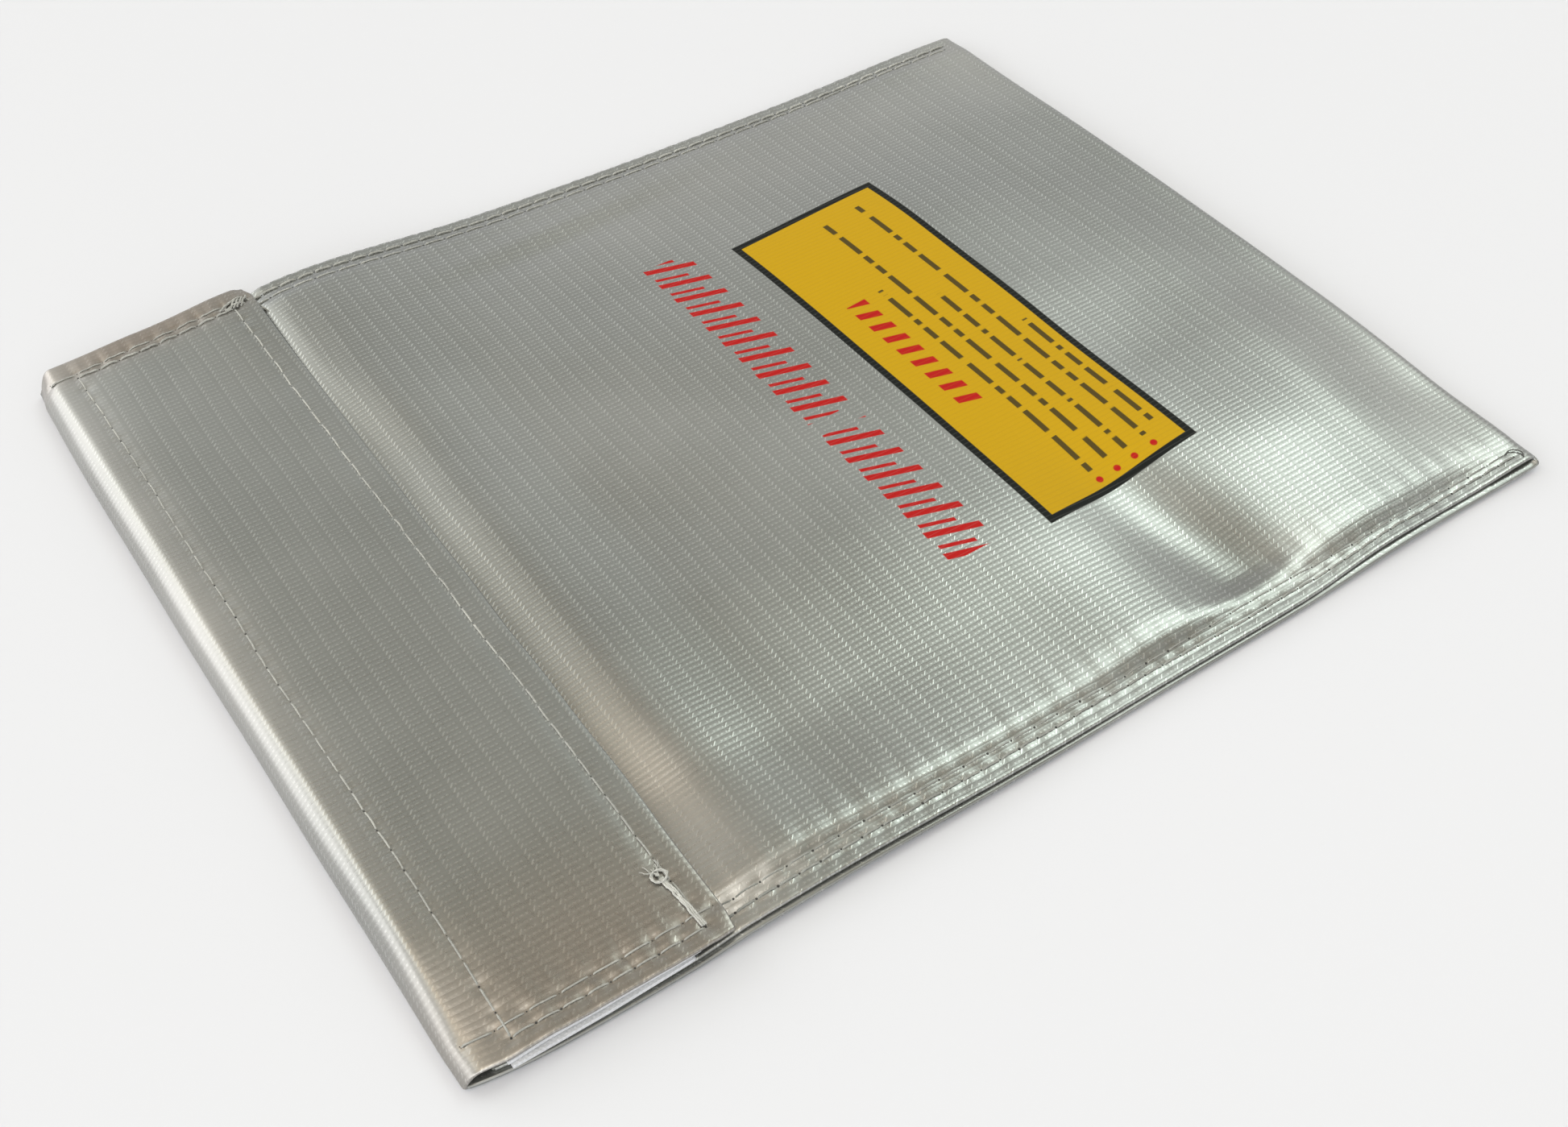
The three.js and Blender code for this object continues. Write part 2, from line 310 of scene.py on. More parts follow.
def front_surface(s, y):
    """From the mouth to the bottom fold, round it, and a little way back underneath."""
    x = MOUTH_X + s
    phi = math.pi / 2 - math.pi * np.clip((s - FRONT_LENGTH) / BOTTOM_ARC, 0, 1)
    z_high, z_low = z_front(BOTTOM_X, y), z_back(BOTTOM_X, y)
    fold_x = BOTTOM_X + BOTTOM_R * np.cos(phi)
    fold_z = (z_high + z_low) / 2 + (z_high - z_low) / 2 * np.sin(phi)
    under_x = BOTTOM_X - (s - FRONT_LENGTH - BOTTOM_ARC)
    under = s > FRONT_LENGTH + BOTTOM_ARC
    on = s > FRONT_LENGTH
    x_all = np.where(under, under_x, np.where(on, fold_x, x))
    z_all = np.where(under, z_back(under_x, y), np.where(on, fold_z, z_front(x, y)))
    return np.stack([x_all, y + 0 * s, z_all], -1)


# ---------------------------------------------------------------- outline of the bag
def curve(table):
    """A smooth curve through a few (x, value) pairs, as a lookup."""
    table = np.asarray(table, float)
    x = np.linspace(table[0, 0], table[-1, 0], 300)
    return x, relax(np.interp(x, table[:, 0], table[:, 1]), 120)


# x, how far the side stands out past the rectangle
NEAR = curve([
    (-113, 0.35), (-110, 1.2), (-104, 2.0), (-85, 2.3), (-68, 2.3), (-50, 2.3), (-30, 2.3),
    (-10, 2.15), (10, 2.05), (30, 1.95), (50, 1.7), (65, 1.25), (80, 0.95), (92, 0.6),
    (112, 0.7),
])
FAR = curve([
    (-113, 0.35), (-90, 0.6), (-72, 1.3), (-50, 1.4), (-30, 1.8), (-15, 2.0), (5, 1.9),
    (30, 1.5), (50, 1.25), (70, 1.4), (90, 1.5), (112, 1.2),
])
FLAP_NEAR = curve([(-113, 0.35), (-110, 1.0), (-106, 1.75), (-95, 2.1), (-68, 2.25)])
FLAP_FAR = curve([(-113, 0.35), (-100, 0.45), (-90, 0.6), (-80, 0.75), (-68, 1.1)])
LOOP_NEAR = curve([(-113, 1.6), (-106, 2.3), (-90, 2.4), (-76, 2.1), (-68, 1.8)])
HOOK_NEAR = curve([(-113, 1.0), (-106, 2.0), (-90, 2.1), (-68, 1.9)])


def spread(mid, near, far, seed, amp, inset=0.0):
    """The bag isn't quite a rectangle: its sides and the bottom fold stand out a little. amp
    is the edge's wobble, inset how far the near side is held in."""
    x, y, z = mid[..., 0], mid[..., 1], mid[..., 2]
    # the inset fades out where the cloth goes down round the bottom fold
    level = np.clip((z - 1.1 - 0.4 * smooth(100, 107, x)) / 0.6, 0, 1)
    inset = inset * (1 + 0.8 * smooth(52, 72, x)) * np.where(x > 99.5, level, 1)
    out = np.where(y > 0, np.interp(x, *far), np.interp(x, *near) - inset)
    off = np.abs(y)
    wobble = amp * waves(x, 0 * x, seed, count=6, low=9, high=60) * smooth(76, 90, off)
    u = y / HALF_W
    new_x = x + (1.75 + 1.6 * (1 - u * u) - 0.1 * u) * smooth(66, 113, x)
    new_x = new_x - 0.4 * smooth(-35, 0, y) * smooth(-103, -112, x)
    return np.stack([new_x, y + np.sign(y) * (smooth(62, 90, off) * out + wobble), z], -1)


def front_shift(mid):
    return spread(mid, NEAR, FAR, seed=41, amp=0.14, inset=0.7)


def back_shift(mid):
    return spread(mid, NEAR, FAR, seed=41, amp=0.14)


def loop_shift(mid):
    return spread(mid, LOOP_NEAR, FAR, seed=41, amp=0.1)


def hook_shift(mid):
    return spread(mid, HOOK_NEAR, FLAP_FAR, seed=43, amp=0.1)


def flap_shift(mid):
    x, y, z = mid[..., 0], mid[..., 1], mid[..., 2]
    # the free corners are drawn in a very little, the far one more
    end = smooth(FREE_X - 3.5, FREE_X, x)
    side = smooth(86, 90, np.abs(y)) * np.where(y > 0, 1.0, 0.35)
    x = x - 0.9 * end * side
    y = y - np.sign(y) * 0.5 * end * side
    z = z - 0.30 * end * side
    # the free edge runs very slightly out of square
    x = x - 0.45 * smooth(-95, -68, x) * smooth(-90, 90, y)
    x = x + 0.10 * waves(0 * y, y, 44, count=5, low=14, high=60) * smooth(-76, -68, x)
    return spread(np.stack([x, y, z], -1), FLAP_NEAR, FLAP_FAR, seed=43, amp=0.08)


def seam_dent(x, y):
    """How far stitches draw the front in."""
    dent = pucker(x, y, SEAM_ROWS, depth=0.20, size=0.7, trench=0.06)
    off = np.abs(y)
    edge = smooth(85.5, 89, off) * smooth(-74, -68, x) * smooth(109, 104, x)
    dent = dent + np.where(y > 0, 0.06 * ripple(x, 3.1, 31), 0.025 * ripple(x, 4.0, 32)) * edge
    inside = bell(off, 81.5, 2.4) * smooth(-72, -66, x) * smooth(109, 104, x)
    return dent + 0.03 * ripple(x, 4.9, 33) * inside


def flap_dent(x, y):
    """How far stitches draw the flap in."""
    dent = pucker(x, y, FLAP_ROWS, depth=0.24, size=0.7, trench=0.03)
    off = np.abs(y)
    far = (y > 0) * smooth(81, 84, off) * smooth(-110.5, -107, x)
    near = (y < 0) * smooth(79, 83, off)
    dent += 0.075 * ripple(x, 2.9, 34) * far * smooth(90.5, 87, off)
    dent += 0.04 * ripple(x, 4.4, 35) * near
    return dent


# ---------------------------------------------------------------- meshes
def add_object(name, mesh):
    o = bpy.data.objects.new(name, mesh)
    bpy.context.scene.collection.objects.link(o)
    return o


def normals(grid):
    """Unit normals of a grid of points by central differences."""
    du = np.empty_like(grid)
    dv = np.empty_like(grid)
    du[1:-1] = grid[2:] - grid[:-2]
    du[0], du[-1] = grid[1] - grid[0], grid[-1] - grid[-2]
    dv[:, 1:-1] = grid[:, 2:] - grid[:, :-2]
    dv[:, 0], dv[:, -1] = grid[:, 1] - grid[:, 0], grid[:, -1] - grid[:, -2]
    n = np.cross(du, dv)
    return n / np.maximum(np.linalg.norm(n, axis=2, keepdims=True), 1e-12)


def shell_object(name, mid, fab, keep, thickness=T):
    """A closed cloth shell round a mid-surface grid. keep says which cells are cloth. fab holds
    where each point is on the flat cloth, for the weave."""
    half = normals(mid) * thickness / 2
    co = np.concatenate([(mid + half).reshape(-1, 3), (mid - half).reshape(-1, 3)]) * MM
    rows, columns = mid.shape[:2]
    count = rows * columns
    idx = np.arange(count).reshape(rows, columns)
    corners = idx[:-1, :-1], idx[1:, :-1], idx[1:, 1:], idx[:-1, 1:]
    top = np.stack([c[keep] for c in corners], 1)
    bottom = top[:, ::-1] + count
    # rim: edges used by exactly one kept cell
    edges = np.concatenate([top[:, [0, 1]], top[:, [1, 2]], top[:, [2, 3]], top[:, [3, 0]]])
    key = np.sort(edges, 1)
    key = key[:, 0].astype(np.int64) * count + key[:, 1]
    _, first, uses = np.unique(key, return_index=True, return_counts=True)
    rim = edges[first[uses == 1]]
    sides = np.stack([rim[:, 1], rim[:, 0], rim[:, 0] + count, rim[:, 1] + count], 1)
    faces = np.concatenate([top, bottom, sides])
    used = np.unique(faces)
    remap = np.full(len(co), -1)
    remap[used] = np.arange(len(used))
    faces = remap[faces]

    mesh = bpy.data.meshes.new(name)
    mesh.vertices.add(len(used))
    mesh.vertices.foreach_set("co", co[used].astype(np.float32).ravel())
    mesh.loops.add(faces.size)
    mesh.loops.foreach_set("vertex_index", faces.astype(np.int32).ravel())
    mesh.polygons.add(len(faces))
    mesh.polygons.foreach_set("loop_start", (np.arange(len(faces)) * 4).astype(np.int32))
    mesh.polygons.foreach_set("loop_total", np.full(len(faces), 4, np.int32))
    mesh.update(calc_edges=True)
    mesh.validate()
    flat = np.concatenate([fab.reshape(-1, 2)] * 2)[used]
    side = np.concatenate([np.zeros(count), np.ones(count)])[used]
    attribute = mesh.attributes.new("fab", "FLOAT_VECTOR", "POINT")
    attribute.data.foreach_set("vector", np.c_[flat, side].astype(np.float32).ravel())
    mesh.polygons.foreach_set("use_smooth", np.ones(len(faces), bool))

    # the cut edge of the cloth is crisp
    cut = np.sort(np.concatenate([remap[rim], remap[rim + count]]), 1).astype(np.int64)
    ends = np.empty(len(mesh.edges) * 2, np.int32)
    mesh.edges.foreach_get("vertices", ends)
    ends = np.sort(ends.reshape(-1, 2), 1).astype(np.int64)
    big = len(used)
    crisp = np.isin(ends[:, 0] * big + ends[:, 1], cut[:, 0] * big + cut[:, 1])
    sharp = mesh.attributes.new("sharp_edge", "BOOLEAN", "EDGE")
    sharp.data.foreach_set("value", crisp)
    return add_object(name, mesh)


# ---------------------------------------------------------------- cloth sheets
ARC = np.linspace(0, math.pi, 7)[1:-1]  # stations round a turned edge
ARC_OUT = TURN * np.sin(ARC)
ARC_DEPTH = TURN * (1 - np.cos(ARC))

# columns across the bag, shared by every sheet: main part, then the turned-in side edges
EDGE = HALF_W - T / 2 - TURN
SIDE_HEM = 7.4
_half = steps([0, 76, 82, EDGE], [1.45, 0.75, 0.55])
_main = np.concatenate([-_half[::-1], _half[1:]])
_n = max(2, int(round(SIDE_HEM / 1.2)))
_hem = SIDE_HEM * np.arange(_n + 1) / _n
_turn_y = np.concatenate([EDGE + ARC_OUT, EDGE - _hem])
_turn_depth = np.concatenate([ARC_DEPTH, np.full(_n + 1, PLY)])
_turn_run = EDGE + np.concatenate([TURN * ARC, TURN * math.pi + _hem])
COLUMN_Y = np.concatenate([-_turn_y[::-1], _main, _turn_y])
COLUMN_DEPTH = np.concatenate([_turn_depth[::-1], np.zeros(len(_main)), _turn_depth])
COLUMN_RUN = np.concatenate([-_turn_run[::-1], _main, _turn_run])


def sheet(name, surface, rows, row_depth, run, dent, shift):
    """Cloth over surface(s, y), whose outward side is along d/ds x d/dy. rows are s values,
    row_depth how far each row lies under the surface (a turned end), run the cloth coordinate
    for the weave. dent draws the cloth in along the normal, shift then moves it."""
    s, y = np.broadcast_arrays(np.asarray(rows, float)[:, None], COLUMN_Y[None, :])
    e = 0.12
    p = surface(s, y)
    n = np.cross(surface(s + e, y) - surface(s - e, y), surface(s, y + e) - surface(s, y - e))
    n /= np.linalg.norm(n, axis=2, keepdims=True)
    depth = row_depth[:, None] + COLUMN_DEPTH[None, :] + dent(p)
    fab = np.empty(s.shape + (2,))
    fab[..., 0] = run[:, None]
    fab[..., 1] = COLUMN_RUN[None, :]
    # where both an end and a side are turned, the corner is left out
    end, side = row_depth > 1e-9, COLUMN_DEPTH > 1e-9
    keep = ~((end[:-1] | end[1:])[:, None] & (side[:-1] | side[1:])[None, :])
    return shell_object(name, shift(p - n * depth[..., None]), fab, keep)


def make_front():
    hem = np.array([10.0, 6.5, 3.0, 0.0])  # distance in from the mouth
    after = np.concatenate([
        steps([0, 34, 52, FRONT_LENGTH], [2.0, 0.75, 1.05]),
        FRONT_LENGTH + BOTTOM_ARC * np.arange(1, 13) / 12,
        FRONT_LENGTH + BOTTOM_ARC + np.array([2.5, 5.0, 7.5, BOTTOM_X - BACK_END_X]),
    ])
    hem_run = MOUTH_X - TURN * math.pi - hem
    return sheet(
        "front_cloth",
        front_surface,
        rows=np.concatenate([hem, -ARC_OUT[::-1], after]),
        row_depth=np.concatenate([np.full(4, PLY), ARC_DEPTH[::-1], np.zeros(len(after))]),
        run=np.concatenate([hem_run, MOUTH_X - TURN * ARC[::-1], after + MOUTH_X]),
        dent=lambda p: np.where(p[..., 2] > 1.0, seam_dent(p[..., 0], p[..., 1]), 0),
        shift=front_shift,
    )


def back_dent(p):
    drawn = pucker(p[..., 0], p[..., 1], SEAM_ROWS, depth=0.25, size=0.8, trench=0.12)
    return np.where(p[..., 2] < 2.0, 0.8 * drawn, 0)


def make_back():
    fold = BACK_LENGTH + LOW_ARC * np.arange(1, 10) / 9
    rows = np.concatenate([steps([0, BACK_LENGTH], [2.3]), fold])
    return sheet(
        "back_cloth",
        back_surface,
        rows=rows,
        row_depth=np.zeros(len(rows)),
        run=BACK_END_X - rows,
        dent=back_dent,
        shift=back_shift,
    )


def make_flap():
    end = UP_ARC + (FREE_X - FOLD_X) - TURN - T / 2
    main = np.concatenate(
        [UP_ARC * np.arange(0, 12) / 12, steps([UP_ARC, UP_ARC + 30, end], [0.85, 0.7])]
    )
    hem = np.array([0, 2.5, 5, 7.6])  # distance in from the free edge
    run = np.concatenate([main, end + TURN * ARC, end + TURN * math.pi + hem])
    return sheet(
        "flap_cloth",
        flap_surface,
        rows=np.concatenate([main, end + ARC_OUT, end - hem]),
        row_depth=np.concatenate([np.zeros(len(main)), ARC_DEPTH, np.full(4, PLY)]),
        run=FOLD_X - LOW_ARC - run,
        dent=lambda p: np.where(p[..., 2] > 4.0, flap_dent(p[..., 0], p[..., 1]), 0),
        shift=flap_shift,
    )


front_cloth = make_front()
back_cloth = make_back()
flap_cloth = make_flap()


# ---------------------------------------------------------------- sewing thread
def tube(path, radius, sides=8, ply=0.2, twist=0.6, dark=0.0):
    """Points, faces and darkness of a closed round cord along a path. ply gives the cord its
    two strands, twist how often they turn per mm."""
    path = np.asarray(path, float)
    d = np.gradient(path, axis=0)
    d /= np.maximum(np.linalg.norm(d, axis=1, keepdims=True), 1e-9)
    ref = np.array([0.0, 0.0, 1.0]) if abs(d[:, 2]).mean() < 0.8 else np.array([1.0, 0, 0])
    across = np.cross(ref, d)
    across /= np.maximum(np.linalg.norm(across, axis=1, keepdims=True), 1e-9)
    over = np.cross(d, across)
    run = run_along(path)
    n = len(path)
    angle = 2 * math.pi * np.arange(sides) / sides
    radius = np.broadcast_to(radius, n)
    co = []
    for i in range(n):
        k = radius[i] * (1 + ply * np.cos(2 * (angle - 2 * math.pi * twist * run[i])))
        ring = np.cos(angle)[:, None] * across[i] + np.sin(angle)[:, None] * over[i]
        co.append(path[i] + k[:, None] * ring)
    co = np.concatenate(co + [path[:1], path[-1:]])
    faces = []
    for a in range(0, (n - 1) * sides, sides):
        b = a + sides
        for j in range(sides):
            j2 = (j + 1) % sides
            faces.append((a + j, a + j2, b + j2, b + j))
    start, last = n * sides, (n - 1) * sides
    for j in range(sides):
        j2 = (j + 1) % sides
        faces.append((start, j2, j))
        faces.append((start + 1, last + j, last + j2))
    return co, faces, dark


def needle_hole_shade(x, y, z, radius, up):
    """A small dark dish, the painted shade of the hole where the thread goes through the cloth."""
    angle = 2 * math.pi * np.arange(10) / 10
    c, s = radius * np.cos(angle), radius * np.sin(angle)
    co = np.concatenate([
        np.c_[x + c, y + s, np.full(10, z)],
        np.c_[x + 0.6 * c, y + 0.6 * s, np.full(10, z + 0.05 * up)],
        [[x, y, z + 0.05 * up], [x, y, z - 0.1 * up]],
    ])
    faces = []
    for j in range(10):
        k = (j + 1) % 10
        for face in ((j, k, 10 + k, 10 + j), (10 + j, 10 + k, 20), (k, j, 21)):
            faces.append(face if up > 0 else face[::-1])
    return co, faces, 1.0


def thread_object(name, parts):
    """Cords and the painted shade of needle holes as one mesh; the point attribute dark marks the
    holes.
    """
    points, faces, darks, base = [], [], [], 0
    for co, part_faces, dark in parts:
        points.append(co)
        faces += [tuple(i + base for i in face) for face in part_faces]
        darks.append(np.full(len(co), dark))
        base += len(co)
    mesh = bpy.data.meshes.new(name)
    mesh.from_pydata((np.concatenate(points) * MM).tolist(), [], faces)
    mesh.validate()
    mesh.update()
    mesh.polygons.foreach_set("use_smooth", np.full(len(mesh.polygons), True))
    attribute = mesh.attributes.new("dark", "FLOAT", "POINT")
    attribute.data.foreach_set("value", np.concatenate(darks).astype(np.float32))
    return add_object(name, mesh)


def stitches(holes, height, shift, radius, seed, up=1, sink=0.55, rings=11, ply=0.2, hole=0.22):
    """One bent piece of two-ply thread from each needle hole to the next. height gives the
    cloth's z where it is sewn, shift how the cloth then lies, sink how deep the ends go."""
    rng = np.random.default_rng(seed)
    parts = []
    if hole:
        for i in range(len(holes)):
            x, y = holes[i]
            z = float(height(holes[i : i + 1, 0], holes[i : i + 1, 1])[0]) + up * (T / 2 + 0.015)
            place = shift(np.array([[[x, y, z]]]))[0, 0]
            parts.append(needle_hole_shade(*place, hole * rng.uniform(0.75, 1.2), up))
    t = np.linspace(0, 1, rings)
    arch = np.minimum(1, np.minimum(t, 1 - t) * 8.5)
    arch = arch * arch * (3 - 2 * arch)
    for a, b in zip(holes, holes[1:]):
        length = np.linalg.norm(b - a)
        side = np.array([-(b - a)[1], (b - a)[0]]) / length
        gap = min(0.1, 0.03 * length)
        q = a + (b - a) * (gap / length + (1 - 2 * gap / length) * t)[:, None]
        q = q + side * (rng.normal(0, 0.05) * np.sin(math.pi * t))[:, None]
        rise = sink + radius * rng.uniform(0.5, 0.75)
        z = height(q[:, 0], q[:, 1]) + up * (T / 2 - sink + rise * arch)
        swell = radius * (0.72 + 0.28 * arch) * rng.uniform(0.94, 1.06)
        path = shift(np.c_[q, z][None])[0]
        parts.append(tube(path, swell, ply=ply, twist=0.55 + rng.uniform(-0.08, 0.08)))
    return parts


def front_top(x, y):
    return z_front(x, y) - 0.85 * seam_dent(x, y)


def flap_top(x, y):
    return z_flap(x, y) - 0.85 * flap_dent(x, y)


def corner_curl():
    """The near outer seam's last thread, curling over the bottom corner."""
    knots = np.array([
        (107.2, -86.6), (108.4, -86.3), (109.5, -87.0), (110.1, -88.1), (109.6, -89.0)
    ])
    t = np.linspace(0, 1, 40)
    q = relax(resample(t, np.linspace(0, 1, len(knots)), knots), 12)
    z = front_top(q[:, 0], q[:, 1]) + T / 2 + 0.1 + 0.25 * np.sin(math.pi * t)
    return tube(front_shift(np.c_[q, z][None])[0], 0.13, dark=0.8)


threads = {}


def flap_thread(name, parts, node):
    o = thread_object(name, parts)
    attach(o, "flap")
    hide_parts(node)
    return o


for side, slim in (("left", 0.8), ("right", 1.0)):
    for kind, full_radius in (("outer", 0.23), ("inner", 0.15)):
        radius = full_radius * slim
        holes = ROWS[f"seam_{kind}_{side}"]
        seed = 50 + len(threads)
        parts = stitches(holes, front_top, front_shift, radius, seed, ply=0.22)
        parts += stitches(
            holes, z_back, back_shift, radius * 0.8, seed + 20,
            up=-1, sink=0.2, rings=7, ply=0.1, hole=0,
        )
        if (kind, side) == ("outer", "left"):
            parts.append(corner_curl())
        name = f"seam_{kind}_stitches_{side}"
        threads[name] = thread_object(name, parts)
        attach(threads[name], "pocket_back")
        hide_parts(f"seam_{kind}_thread_{side}")

for side, seed in (("left", 94), ("right", 95)):
    name = f"flap_hem_stitches_{side}"
    parts = stitches(
        ROWS[f"hem_{side}"], flap_top, flap_shift, 0.14, seed, sink=0.5, hole=0.12
    )
    threads[name] = flap_thread(name, parts, f"flap_hem_thread_{side}")

parts = []
BOX_RADII = {"box_fold": 0.16, "box_free": 0.17, "box_left": 0.14, "box_right": 0.19}
for k, (key, radius) in enumerate(BOX_RADII.items()):
    parts += stitches(ROWS[key], flap_top, flap_shift, radius, 110 + k, hole=0.19)
threads["flap_box_stitches"] = flap_thread("flap_box_stitches", parts, "hook_box_thread")


# ---------------------------------------------------------------- knot and loose ends
def unsteady(points, n, amp, seed):
    """A smooth, slightly unsteady line through the given points."""
    points = np.asarray(points, float)
    knots = run_along(points)
    t = np.linspace(0, knots[-1], n)
    rng = np.random.default_rng(seed)
    out = relax(resample(t, knots, points), 3)
    for k in range(3):
        phases = rng.uniform(0, 6, 3)
        rates = rng.uniform(0.8, 3.4, 3)
        wave = sum(np.sin(t * rate + phase) for rate, phase in zip(rates, phases)) / 2
        ends = np.sqrt(np.clip(np.sin(math.pi * t / knots[-1]), 0, 1))
        out[:, k] += amp * wave * ends * (0.5 if k == 2 else 1)
    return out


def flap_point(x, y, z):
    return tuple(flap_shift(np.array([[[x, y, z]]], float))[0, 0])


def on_flap(x, y, above):
    return flap_point(x, y, float(z_flap(x, y)) + T / 2 + above)


def make_knot():
    """Knot on the row at the flap's free edge, near the near corner."""
    knot_x, knot_y = -73.1, -77.2
    parts = []
    for j in range(7):  # wound loops
        start = 0.9 * j
        loop = [
            on_flap(
                knot_x + 1.25 * math.cos(start + t) + 0.2 * math.sin(3 * t),
                knot_y + 1.0 * math.sin(start + t),
                0.25 + 0.35 * (0.5 + 0.5 * math.sin(2 * t + j)),
            )
            for t in np.linspace(0, 4.4, 12)
        ]
        parts.append(tube(unsteady(loop, 22, 0.12, 200 + j), 0.13, sides=6, ply=0, twist=0))
    for j in range(5):  # short frayed ends
        end = on_flap(knot_x - 2.2 + 0.9 * j, knot_y + 2.0 + 0.5 * math.sin(j * 2.1), 0.25)
        path = unsteady([on_flap(knot_x, knot_y, 0.5), end], 10, 0.25, 220 + j)
        parts.append(tube(path, np.linspace(0.11, 0.05, 10), sides=5, ply=0, twist=0))
    for j in range(3):  # a run of threads side by side towards the corner
        off = (j - 1) * 0.26
        run = [
            on_flap(-73.0 + off, -77.6, 0.25),
            on_flap(-72.3 + off, -82.0, 0.22),
            on_flap(-71.9 + off * 1.3, -87.0, 0.2),
        ]
        parts.append(tube(unsteady(run, 30, 0.10, 230 + j), 0.19, sides=7))
    return flap_thread("flap_thread_knot", parts, "thread_knot")


def make_tail():
    """Loose ends at the flap's far corner, lying over the free edge."""
    on_cloth = [  # x, y, height above the flap
        [(-75.5, 84.6, 0.2), (-72.0, 86.3, 0.35)],
        [(-74.0, 85.4, 0.2), (-70.6, 86.6, 0.4)],
        [(-74.5, 84.2, 0.25), (-71.3, 84.9, 0.45)],
    ]
    past_edge = [  # x, y, z
        [(-69.4, 85.3, 6.9), (-66.9, 82.6, 5.9), (-66.3, 79.6, 5.7)],
        [(-68.0, 84.6, 6.9), (-66.6, 81.4, 5.9)],
        [(-68.6, 84.1, 6.8), (-67.2, 82.2, 6.2)],
    ]
    parts = []
    for j, (lying, hanging) in enumerate(zip(on_cloth, past_edge)):
        end = [on_flap(*p) for p in lying] + [flap_point(*p) for p in hanging]
        parts.append(tube(unsteady(end, 26, 0.12, 240 + j), np.linspace(0.21, 0.12, 26), sides=7))
    for j in range(4):
        x = -73.5 + 0.8 * j
        loop = [on_flap(x, 84.0, 0.15), on_flap(x + 1.2, 85.2, 0.45), on_flap(x + 2.0, 86.4, 0.2)]
        parts.append(tube(unsteady(loop, 14, 0.1, 250 + j), 0.19, sides=7))
    return flap_thread("flap_thread_tail", parts, "thread_tail")


knot = make_knot()
tail = make_tail()


# ---------------------------------------------------------------- closing tapes
TAPE_HALF = 89.7
LOOP_T, HOOK_T = 1.05, 1.0


def gape(o):
    """Bakes the piece's transform and works out a weight for opening with pocket_front, none at the
    seams and the bottom fold and full in the middle; the weight is not stored."""
    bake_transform(o)
    co = np.zeros(len(o.data.vertices) * 3, np.float32)
    o.data.vertices.foreach_get("co", co)
    x, y, z = (co.reshape(-1, 3) / MM).T
    weight = smooth(86.5, 30, np.abs(y)) * smooth(108, 92, x)
    weight = weight * np.where((x > 94) & (z < 1.6), 0, 1)


def tape(name, x0, x1, mid_height, thickness, spacing, shift, relief=None):
    """A strip across the bag, thinner at its rim; relief roughens its surface."""
    xs = np.linspace(x0, x1, int(round((x1 - x0) / spacing)) + 1)
    ys = np.linspace(-TAPE_HALF, TAPE_HALF, int(round(2 * TAPE_HALF / spacing)) + 1)
    x, y = np.meshgrid(xs, ys, indexing="ij")
    wobble = 0.08 * waves(0 * y, y, 61, count=4, low=12, high=50)
    edge = smooth(1.2, 0, x - x0) + smooth(1.2, 0, x1 - x)
    mid = np.stack([x + wobble * edge, y, mid_height(x, y)], -1)
    rim = np.minimum.reduce([x - x0, x1 - x, TAPE_HALF - y, TAPE_HALF + y])
    thick = np.full(x.shape, thickness) * (0.72 + 0.28 * smooth(0, 0.9, rim))
    if relief is not None:
        mid[..., 2] += relief(rim)
    keep = np.ones((len(xs) - 1, len(ys) - 1), bool)
    return shell_object(name, shift(mid), np.stack([x, y], -1), keep, thick[..., None])


def pile(rim):
    """Random unevenness of the loops, fading towards the rim."""
    n = np.random.default_rng(63).normal(0, 1, rim.shape)
    n = (n + np.roll(n, 1, 0) + np.roll(n, 1, 1) + np.roll(n, -1, 0)) / 2
    return 0.07 * n * smooth(0.6, 1.6, rim)


def loop_mid(x, y):
    return z_front(x, y) + T / 2 + 0.06 + LOOP_T / 2


def hook_mid(x, y):
    return z_flap(x, y) - T / 2 - PLY - 0.04 - HOOK_T / 2


def loop_top(x, y):
    """Where the loop strip's stitches lie, pressed a little into the pile."""
    return loop_mid(x, y) + LOOP_T / 2 - T / 2 - 0.18


def make_hooks():
    """Staggered rows of small bent stems under the hook strip."""
    rng = np.random.default_rng(64)
    parts = []
    for i, x in enumerate(np.arange(-104.2, -74.0, 1.45)):
        for y in np.arange(-86.6 + (0.8 if i % 2 else 0), 86.6, 1.6):
            z = float(hook_mid(x, y)) - HOOK_T / 2
            way = 1 if rng.random() > 0.5 else -1
            stem = [(0, 0.1), (0, -0.22), (0.07, -0.36), (0.2, -0.36)]  # sideways, up
            path = [(x + dx * way, y, z + dz) for dx, dz in stem]
            parts.append(tube(path, [0.14, 0.11, 0.10, 0.08], sides=4, ply=0, twist=0))
    o = thread_object("hook_strip_hooks", parts)
    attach(o, "flap")
    return o


loop_strip = tape("loop_strip_pile", -105.8, -75.0, loop_mid, LOOP_T, 0.62, loop_shift, pile)
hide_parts("loop_strip")
gape(loop_strip)

hook_strip = tape("hook_strip_base", -106.3, -74.0, hook_mid, HOOK_T, 1.3, hook_shift)
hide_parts("hook_strip")
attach(hook_strip, "flap")

hooks = make_hooks()

